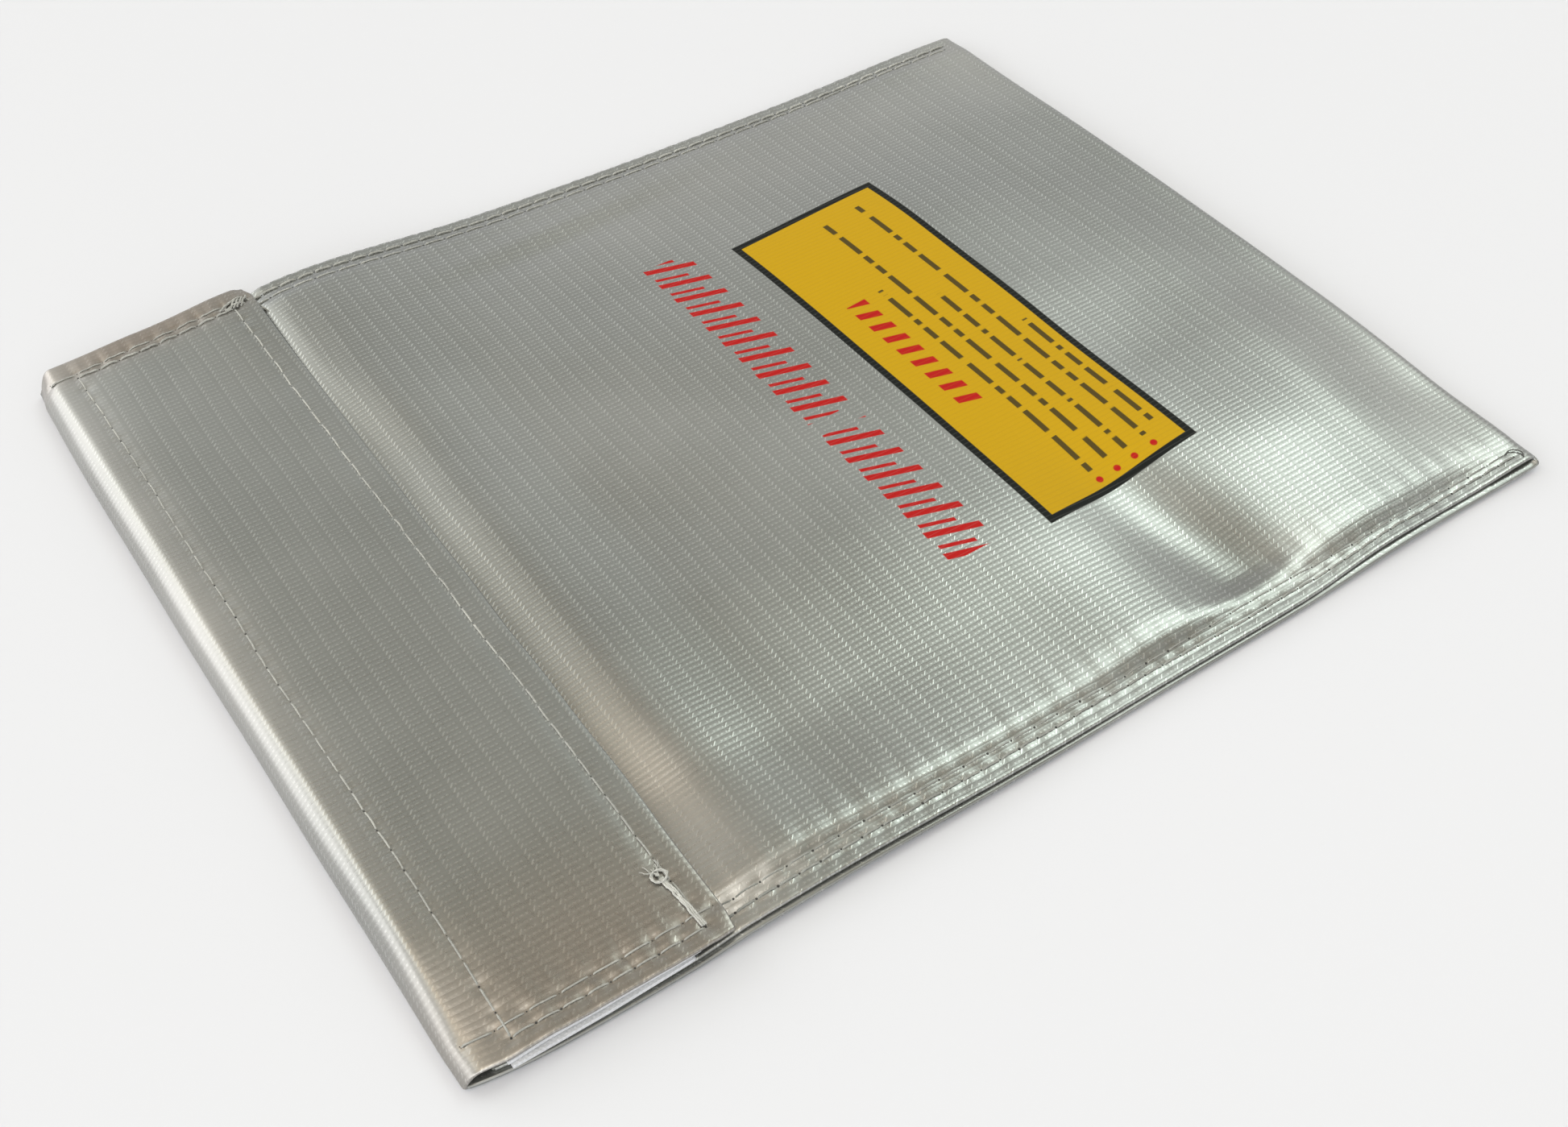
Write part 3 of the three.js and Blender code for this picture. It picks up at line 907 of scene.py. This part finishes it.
# the loop strip's own stitches, and the mouth hem's row
LOOP_BOX = [  # x and y of the start, x and y of the end, pitch
    (-103, -86.4, -103, 86.4, 4.4),
    (-77.2, -86.4, -77.2, 86.4, 4.4),
    (-103, -86.4, -77.2, -86.4, 4.3),
    (-103, 86.4, -77.2, 86.4, 4.3),
]
parts = []
for k, ends in enumerate(LOOP_BOX):
    holes = row(*ends, seed=81 + k)
    parts += stitches(holes, loop_top, loop_shift, 0.17, 140 + k, sink=0.3, rings=8, hole=0)
loop_box = thread_object("loop_strip_stitches", parts)
mouth_row = row(-106.7, -80, -106.7, 80, pitch=4.6, seed=85)
parts = stitches(mouth_row, z_front, front_shift, 0.17, 150, sink=0.4, rings=8)
mouth_stitches = thread_object("mouth_hem_stitches", parts)
for o, node in ((loop_box, "loop_box_thread"), (mouth_stitches, "mouth_hem_thread")):
    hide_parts(node)
    gape(o)
    threads[o.name] = o

# ---------------------------------------------------------------- what the cloth stands for
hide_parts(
    "front_panel",
    "bottom_fold",
    "mouth_hem",
    "front_seam_edge_left",
    "front_seam_edge_right",
    "front_hem_left",
    "front_hem_right",
)
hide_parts("back_panel", "mouth_fold", "back_hem_left", "back_hem_right")
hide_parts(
    "flap_panel", "flap_side_hem_left", "flap_side_hem_right", "flap_end_hem"
)
gape(front_cloth)
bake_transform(back_cloth)
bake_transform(flap_cloth)


# ---------------------------------------------------------------- node helpers
class Num:
    """An output in a node tree, so that patterns can be written as sums."""

    def __init__(self, tree, socket):
        self.tree, self.socket = tree, socket

    def math(self, operation, *others, clamp=False):
        node = self.tree.nodes.new("ShaderNodeMath")
        node.operation, node.use_clamp = operation, clamp
        for i, value in enumerate((self,) + others):
            self.tree.feed(node.inputs[i], value)
        return Num(self.tree, node.outputs[0])

    def __add__(self, other):
        return self.math("ADD", other)

    def __sub__(self, other):
        return self.math("SUBTRACT", other)

    def __rsub__(self, other):
        return (self * -1.0) + other

    def __mul__(self, other):
        return self.math("MULTIPLY", other)

    def __truediv__(self, other):
        return self.math("DIVIDE", other)

    def cos(self):
        return self.math("COSINE")

    def exp(self):
        return self.math("EXPONENT")

    def fract(self):
        return self.math("FRACT")

    def abs(self):
        return self.math("ABSOLUTE")

    def pow(self, power):
        return self.math("POWER", power)

    def max(self, other):
        return self.math("MAXIMUM", other)

    def min(self, other):
        return self.math("MINIMUM", other)

    def clamp(self):
        return self.math("ADD", 0.0, clamp=True)

    def step(self, a, b):
        """Eased from 0 at a to 1 at b."""
        node = self.tree.nodes.new("ShaderNodeMapRange")
        node.interpolation_type = "SMOOTHSTEP"
        self.tree.feed(node.inputs["Value"], self)
        node.inputs["From Min"].default_value = a
        node.inputs["From Max"].default_value = b
        return Num(self.tree, node.outputs["Result"])

    def band(self, centre, half, soft=0.12):
        """1 within half of centre."""
        return 1 - (self - centre).abs().step(half - soft, half + soft)


class Tree:
    """The node tree of a material or world."""

    def __init__(self, owner):
        owner.use_nodes = True
        self.nodes, self.links = owner.node_tree.nodes, owner.node_tree.links

    def feed(self, socket, value):
        """Links a Num, or sets a number or an RGB colour."""
        if isinstance(value, Num):
            self.links.new(value.socket, socket)
        else:
            socket.default_value = value + (1.0,) if isinstance(value, tuple) else value

    def surface(self, **values):
        """Feeds the surface shader; an underscore stands for a space."""
        for key, value in values.items():
            self.feed(self.nodes["Principled BSDF"].inputs[key.replace("_", " ")], value)

    def coords(self, kind):
        return Num(self, self.nodes.new("ShaderNodeTexCoord").outputs[kind])

    def attribute(self, name, output):
        node = self.nodes.new("ShaderNodeAttribute")
        node.attribute_name = name
        return Num(self, node.outputs[output])

    def xyz(self, vector):
        node = self.nodes.new("ShaderNodeSeparateXYZ")
        self.feed(node.inputs[0], vector)
        return [Num(self, node.outputs[k]) for k in range(3)]

    def noise(self, vector, scale, detail=2.0, rough=0.5, stretch=None):
        node = self.nodes.new("ShaderNodeTexNoise")
        node.inputs["Scale"].default_value = scale
        node.inputs["Detail"].default_value = detail
        node.inputs["Roughness"].default_value = rough
        if stretch:
            mapping = self.nodes.new("ShaderNodeMapping")
            mapping.inputs["Scale"].default_value = stretch
            self.feed(mapping.inputs["Vector"], vector)
            vector = Num(self, mapping.outputs["Vector"])
        self.feed(node.inputs["Vector"], vector)
        return Num(self, node.outputs["Fac"])

    def mix(self, factor, a, b):
        node = self.nodes.new("ShaderNodeMix")
        node.data_type = "RGBA"
        self.feed(node.inputs["Factor"], factor)
        for key, value in (("A", a), ("B", b)):
            socket = next(s for s in node.inputs if s.name == key and s.type == "RGBA")
            self.feed(socket, value)
        return Num(self, next(s for s in node.outputs if s.type == "RGBA"))

    def bump(self, height, strength, distance):
        node = self.nodes.new("ShaderNodeBump")
        node.inputs["Strength"].default_value = strength
        node.inputs["Distance"].default_value = distance
        self.feed(node.inputs["Height"], height)
        self.surface(Normal=Num(self, node.outputs["Normal"]))


def new_material(name):
    mat = bpy.data.materials.new(name)
    return mat, Tree(mat)


# ---------------------------------------------------------------- silver cloth
RIB, COLUMN = 1.1, 3.75  # pitch of the ribs, and of the pattern along them
METAL = 0.86
YARN_DOTS = [  # yarn in a column, raised and lightened in colour as painted glints: place, half length, half width, brightness
    (1.84, 0.32, 0.26, 0.62), (2.68, 0.54, 0.22, 0.55), (3.50, 0.27, 0.24, 0.55),
]
PANEL_BARS = [  # bars of the printed panel: place across, start, end, phase of the gaps
    (-3.3, -44.5, 19.0, 0.1), (1.2, -44.5, 43.5, 0.43), (5.7, -44.5, 11.5, 0.7),
    (10.7, -44.5, 44.5, 0.25), (14.6, -42.5, -5.0, 0.9),
]
PRINT_BLACK, PRINT_YELLOW, PRINT_BAR = (0.004, 0.005, 0.004), (0.42, 0.25, 0.001), (0.03, 0.022, 0.006)
PRINT_RED, TITLE_RED = (0.34, 0.004, 0.003), (0.34, 0.005, 0.004)


def print_panel(tree, vec, u, v, rib, colour):
    """Printed panel of border, rows of bars and hatched headings, without words. Gives the
    colour with the print on it, and where there is ink."""
    x, y = u - 42.3, v + 1.9  # from the panel's middle
    # a across and b along the panel, which is turned a little and slightly out of square
    det = 0.9976 * 0.9995 + 0.070 * 0.0314
    a = (x * 0.9995 + y * 0.0314) / det
    b = (y * 0.9976 - x * 0.070) / det
    gap = 1 - (1 - rib).max(0.0).pow(3.0) * 0.12  # less ink between the ribs
    outer = a.band(0, 18.9) * b.band(0, 50.4)
    panel = a.band(0, 17.3) * b.band(0, 48.8)
    bars = None
    for place, start, end, phase in PANEL_BARS:
        wide_gap = (b / 8.3 + phase).fract().step(0.14, 0.18)
        thin_gap = 1 - (b / 12.7 + phase).fract().band(0.5, 0.05, 0.02)
        bar = a.band(place, 0.62) * b.band((start + end) / 2, (end - start) / 2)
        bar = bar * wide_gap * thin_gap
        bars = bar if bars is None else bars.max(bar)
    hatch = ((b + a * 0.35) / 4.4).fract().band(0.5, 0.22, 0.03)
    heading = a.band(-9.8, 2.35) * b.band(0.4, 18.6) * hatch
    dots = None  # one at the start of each of the first four bars
    for place, *_ in PANEL_BARS[:4]:
        dot = 1 - ((a - place).pow(2.0) + (b + 47.0).pow(2.0)).step(0.35, 0.75)
        dots = dot if dots is None else dots.max(dot)
    # a title beside the panel: two spans of slanting strokes
    title_x = u - 8.6 + v * 0.012
    slant = ((v + title_x * 0.30) / 5.9).fract()
    strokes = slant.band(0.34, 0.135, 0.02).max(
        slant.band(0.76, 0.08, 0.02) * title_x.band(-1.4, 3.4)
    )
    spans = v.band(-31.5, 19.8) + v.band(22.0, 29.8)
    title = title_x.band(0, 5.2) * spans * strokes
    worn = gap * (1 - tree.noise(vec, 1.6, rough=0.6).step(0.66, 0.8) * 0.14)
    colour = tree.mix(outer * worn, colour, PRINT_BLACK)
    colour = tree.mix(panel * worn, colour, PRINT_YELLOW)
    colour = tree.mix(panel * bars * 0.92, colour, PRINT_BAR)
    colour = tree.mix((heading + dots).min(1.0) * panel * worn, colour, PRINT_RED)
    colour = tree.mix(title * worn, colour, TITLE_RED)
    return colour, (outer + title).min(1.0)


def silver(name, shine, dash_lean=0.95, printed=False, painted_light=()):
    """Woven silver cloth. shine is that of raised yarns, whose glints are partly painted into the
    colour; the last argument is a table of places with painted highlights, warm reflections and shade.
    """
    mat, tree = new_material(name)
    vec = tree.attribute("fab", "Vector")
    u0, v0, _ = tree.xyz(vec)
    # the weave drifts a little
    v = v0 + (tree.noise(vec, 0.045) - 0.5) * 1.1
    u = u0 + (tree.noise(vec, 0.03, detail=1.0, stretch=(1, 1, 40)) - 0.5) * 1.6

    # fine ribs run along the bag; in every column each rib shows a slanting dash, a round dot, a short
    # flat dash and another dot where the yarn comes up, raised and lit by painted glints
    off_rib = ((v / RIB).fract() - 0.5) * RIB
    across = off_rib.abs() * (2 / RIB)
    rib = 1 - across.pow(2.6)
    along = (u / COLUMN).fract() * COLUMN
    yarn = (along / COLUMN * 4.0).fract() - 0.5
    vary = tree.noise(vec, 0.35, rough=0.6)
    dots = None
    for place, length, width, amount in YARN_DOTS:
        far = ((along - place) / length).pow(2.0) + ((off_rib + 0.10) / width).pow(2.0)
        dot = (1 - far.step(0.0, 1.0)) * amount
        dots = dot if dots is None else dots.max(dot)
    dash = (along - 0.44 - off_rib * dash_lean).abs()
    dash = (1 - dash.step(0.0, 0.30)) * (1 - off_rib.abs().step(0.22, 0.50))
    line = (1 - (along - 0.06).abs().step(0.03, 0.12)) * 0.16
    lit = dots.max(dash).max(line) * (vary * 1.1 + 0.35) * shine
    groove = yarn.abs().step(0.42, 0.5)

    fine = tree.noise(vec, 4.0, rough=0.6)
    pillow = rib * (1 - (yarn.abs() * 2.0).pow(2.5) * 0.30)
    height = pillow * (0.55 if printed else 0.40) + lit * 0.30 + (fine - 0.5) * 0.14
    tree.bump(height, strength=1.0, distance=0.000030)

    # colour: even silver with slow change of tone, painted shade in the grooves, painted glints on the
    # raised yarns
    tone = tree.noise(vec, 0.022, detail=3.0, rough=0.55)
    speck = tree.noise(vec, 0.9, rough=0.6)
    base = tree.mix(tone.step(0.35, 0.7), (0.272, 0.277, 0.265), (0.302, 0.307, 0.296))
    # painted shade darkens the grooves between ribs and columns; random specks add tone
    groove_shade_and_speck = across.pow(6.0) * (0.22 if printed else 0.13) + groove * 0.10
    groove_shade_and_speck = groove_shade_and_speck + (speck - 0.5).abs() * 0.16
    if printed:
        # towards the near bottom corner more painted shade in the grooves makes the crossings show as
        # separate cushions
        corner_groove_shade = u0.step(35, 72) * (v0 * -1.0).step(18, 58)
        groove_shade_and_speck = groove_shade_and_speck + corner_groove_shade * (groove * 0.5 + across.pow(7.0) * 0.3)
    colour = tree.mix(groove_shade_and_speck.clamp(), base, (0.10, 0.10, 0.092))
    # painted glints: the raised yarn dots and dashes lightened
    colour = tree.mix((lit * 0.62).clamp(), colour, (0.66, 0.675, 0.65))
    # painted light: highlights, warm reflections and shade tinted into the colour at the listed places
    for x, y, length, width, amount, tint in painted_light:
        g = ((u0 - x) / length).pow(2.0) + ((v0 - y) / width).pow(2.0)
        g = (g * -0.5).exp() * amount
        colour = tree.mix((g * (tone + 0.5)).clamp(), colour, tint)

    rough = (tone - 0.5) * 0.12 + (speck - 0.5) * 0.10 - lit * 0.05 + 0.29
    if printed:
        colour, ink = print_panel(tree, vec, u0, v0, rib, colour)
        metal = (1 - ink * 0.97) * METAL
        rough = rough * (1 - ink) + ink * 0.5
        tree.surface(Specular_IOR_Level=0.5 - ink * 0.38)
    else:
        metal = Num(tree, tree.nodes.new("ShaderNodeValue").outputs[0])
        metal.socket.default_value = METAL
    tree.surface(Base_Color=colour, Metallic=metal, Roughness=rough.clamp())
    return mat


# ---------------------------------------------------------------- thread and tapes
def thread_material(name, colour):
    mat, tree = new_material(name)
    vec = tree.coords("Object")
    fibre = tree.noise(vec, 900.0, detail=3.0, rough=0.7)
    slow = tree.noise(vec, 60.0)
    shade = tuple(c * 0.6 for c in colour)
    mixed = tree.mix((fibre * 0.9 + (slow - 0.5) * 0.8).step(0.25, 0.85), shade, colour)
    # near black where the point attribute dark is set, fully at the needle holes' painted shade
    mixed = tree.mix(tree.attribute("dark", "Fac"), mixed, (0.015, 0.014, 0.012))
    tree.bump(fibre, strength=0.6, distance=0.00006)
    tree.surface(Base_Color=mixed, Roughness=slow * 0.2 + 0.55, Sheen_Weight=0.25)
    return mat


def tape_material(name, colour, fine_scale, depth, pitch):
    mat, tree = new_material(name)
    vec = tree.attribute("fab", "Vector")
    u, v, _ = tree.xyz(vec)
    fine = tree.noise(vec, fine_scale, detail=3.0, rough=0.7)
    slow = tree.noise(vec, 0.12)
    turn = 2 * math.pi
    weave = ((v / pitch) * turn).cos() * ((u / pitch) * turn).cos() * 0.5 + 0.5
    shade = (fine * 0.9 + weave * 0.1) * 0.8 + slow * 0.3
    mixed = tree.mix(shade.step(0.2, 0.75), tuple(c * 0.62 for c in colour), colour)
    tree.bump(fine * 0.7 + weave * 0.3, strength=0.8, distance=depth)
    tree.surface(Base_Color=mixed, Roughness=slow * 0.1 + 0.75, Sheen_Weight=0.15)
    return mat


def mottled_material(name, scale, colours, roughness):
    """Plain paint or plastic between two close colours."""
    mat, tree = new_material(name)
    mixed = tree.mix(tree.noise(tree.coords("Object"), scale), *colours)
    tree.surface(Base_Color=mixed, Roughness=roughness)
    return mat


def put(o, mat):
    o.data.materials.clear()
    o.data.materials.append(mat)


# tints of painted light: a warm reflection, a highlight and a shade
WARM_REFLECTION_TINT, HIGHLIGHT_TINT, SHADE_TINT = (0.30, 0.225, 0.175), (0.45, 0.435, 0.415), (0.17, 0.17, 0.155)
# patches of painted highlight, warm reflection and shade, in cloth coordinates: x, y, length, width,
# strength, tint
FRONT_PAINTED_LIGHT = [
    (-63, -70, 5.0, 22, 0.66, HIGHLIGHT_TINT), (46, -79, 6, 7, 0.45, SHADE_TINT), (104, -60, 9, 26, 0.3, HIGHLIGHT_TINT),
    (-47, -50, 6, 14, 0.35, SHADE_TINT), (45, 74, 42, 15, 0.3, HIGHLIGHT_TINT), (108, 84, 9, 14, 0.35, HIGHLIGHT_TINT),
    (101, 22, 9, 24, 0.15, SHADE_TINT), (60, -81, 6, 5, 0.4, HIGHLIGHT_TINT), (-18, 4, 18, 22, 0.22, HIGHLIGHT_TINT),
]
FLAP_PAINTED_LIGHT = [
    (-139, 88, 24, 3.2, 0.55, WARM_REFLECTION_TINT), (-141, -85, 28, 11, 0.36, WARM_REFLECTION_TINT),
    (-119.5, 15, 4.5, 72, 0.6, HIGHLIGHT_TINT),
]
put(front_cloth, silver("silver_front", shine=1.0, printed=True, painted_light=FRONT_PAINTED_LIGHT))
put(back_cloth, silver("silver_back", shine=0.8))
put(flap_cloth, silver("silver_flap", shine=0.7, dash_lean=-0.8, painted_light=FLAP_PAINTED_LIGHT))
grey_thread = thread_material("thread_grey", (0.40, 0.40, 0.37))
# the grey thread again, darker, as painted shade
shaded_grey_thread = thread_material("thread_grey_shaded", (0.30, 0.305, 0.28))
light_thread = thread_material("thread_light", (0.58, 0.58, 0.545))
for key, o in threads.items():
    # the near (left) seams take the darker copy of the grey thread: painted shade
    put(o, shaded_grey_thread if key.startswith("seam") and key.endswith("left") else grey_thread)
put(knot, light_thread)
put(tail, grey_thread)
put(
    loop_strip,
    tape_material("loop_pile", (0.60, 0.61, 0.635), fine_scale=2.6, depth=0.00016, pitch=0.8),
)
put(
    hook_strip,
    tape_material("hook_tape", (0.58, 0.59, 0.615), fine_scale=3.2, depth=0.00008, pitch=0.7),
)
STEM_COLOURS = (0.46, 0.47, 0.49), (0.62, 0.63, 0.655)
put(hooks, mottled_material("hook_stem", 400.0, STEM_COLOURS, roughness=0.45))

# ---------------------------------------------------------------- floor, light, camera
bpy.ops.mesh.primitive_plane_add(size=6, location=(0, 0, -0.0002))
floor = bpy.context.object
floor.name = "stage_floor"
FLOOR_COLOURS = (0.572, 0.577, 0.618), (0.587, 0.592, 0.633)
put(floor, mottled_material("stage_floor_paint", 3.0, FLOOR_COLOURS, roughness=0.7))

scene = bpy.context.scene
scene.view_settings.view_transform = "Standard"

SKY = [  # sine of the elevation, colour
    (0.0, (0.60, 0.60, 0.61)),
    (0.45, (0.90, 0.91, 0.90)),
    (0.53, (0.84, 0.85, 0.83)),
    (0.59, (0.76, 0.77, 0.74)),
    (0.66, (0.76, 0.77, 0.73)),
    (0.74, (0.67, 0.665, 0.62)),
    (0.82, (0.47, 0.44, 0.365)),
    (0.90, (0.42, 0.36, 0.275)),
    (0.96, (0.70, 0.60, 0.47)),
    (1.0, (2.2, 2.15, 2.0)),
]


def make_world():
    world = scene.world or bpy.data.worlds.new("World")
    scene.world = world
    tree = Tree(world)
    x, y, z = tree.xyz(tree.coords("Generated"))
    ramp = tree.nodes.new("ShaderNodeValToRGB")
    tree.feed(ramp.inputs["Fac"], z)
    stops = ramp.color_ramp.elements
    for stop, (position, colour) in zip(stops, (SKY[0], SKY[-1])):
        stop.position, stop.color = position, colour + (1,)
    for position, colour in SKY[1:-1]:
        stops.new(position).color = colour + (1,)
    # a bright screen high off the bag's bottom end
    screen = (x * 0.585 + y * 0.22 + z * 0.78).step(0.962, 0.997)
    # a low window past the mouth
    window = (x * -1.0).step(-0.12, 0.47) * 2.35
    window = window * (1 - (x * -1.0).step(0.48, 0.66) * z.step(0.36, 0.52) * 0.85)
    # a wall behind the camera
    wall = (x * -0.5 - y * 0.8).step(0.1, 0.6) * 0.35
    sky = Num(tree, ramp.outputs["Color"])
    background = tree.nodes["Background"]
    tree.feed(background.inputs["Color"], tree.mix(screen, sky, (4.3, 4.8, 4.5)))
    tree.feed(background.inputs["Strength"], window + wall + 1.0)


def make_key_light():
    light = bpy.data.lights.new("key_softbox", "AREA")
    light.shape, light.size, light.size_y = "RECTANGLE", 0.5, 0.5
    light.energy, light.color = 1.6, (0.97, 1.0, 0.99)
    o = add_object("key_softbox", light)
    o.location = (-0.35, -0.55, 1.15)
    # aimed at the origin
    aim = Vector((0, 0, 0)) - Vector((-0.35, -0.55, 1.15))
    o.rotation_euler = aim.to_track_quat("-Z", "Y").to_euler()


def make_camera():
    data = bpy.data.cameras.new("photo_camera")
    data.sensor_fit = "HORIZONTAL"
    data.sensor_width = 36
    data.lens = 42.18
    data.clip_start = 0.01
    camera = add_object("photo_camera", data)
    # columns: right, up, back, place
    camera.matrix_world = Matrix((
        (0.82665, 0.41077, -0.38460, -0.14500),
        (-0.56270, 0.59880, -0.56990, -0.21935),
        (-0.00380, 0.68752, 0.72615, 0.24072),
        (0, 0, 0, 1),
    ))
    scene.camera = camera


make_world()
make_key_light()
make_camera()
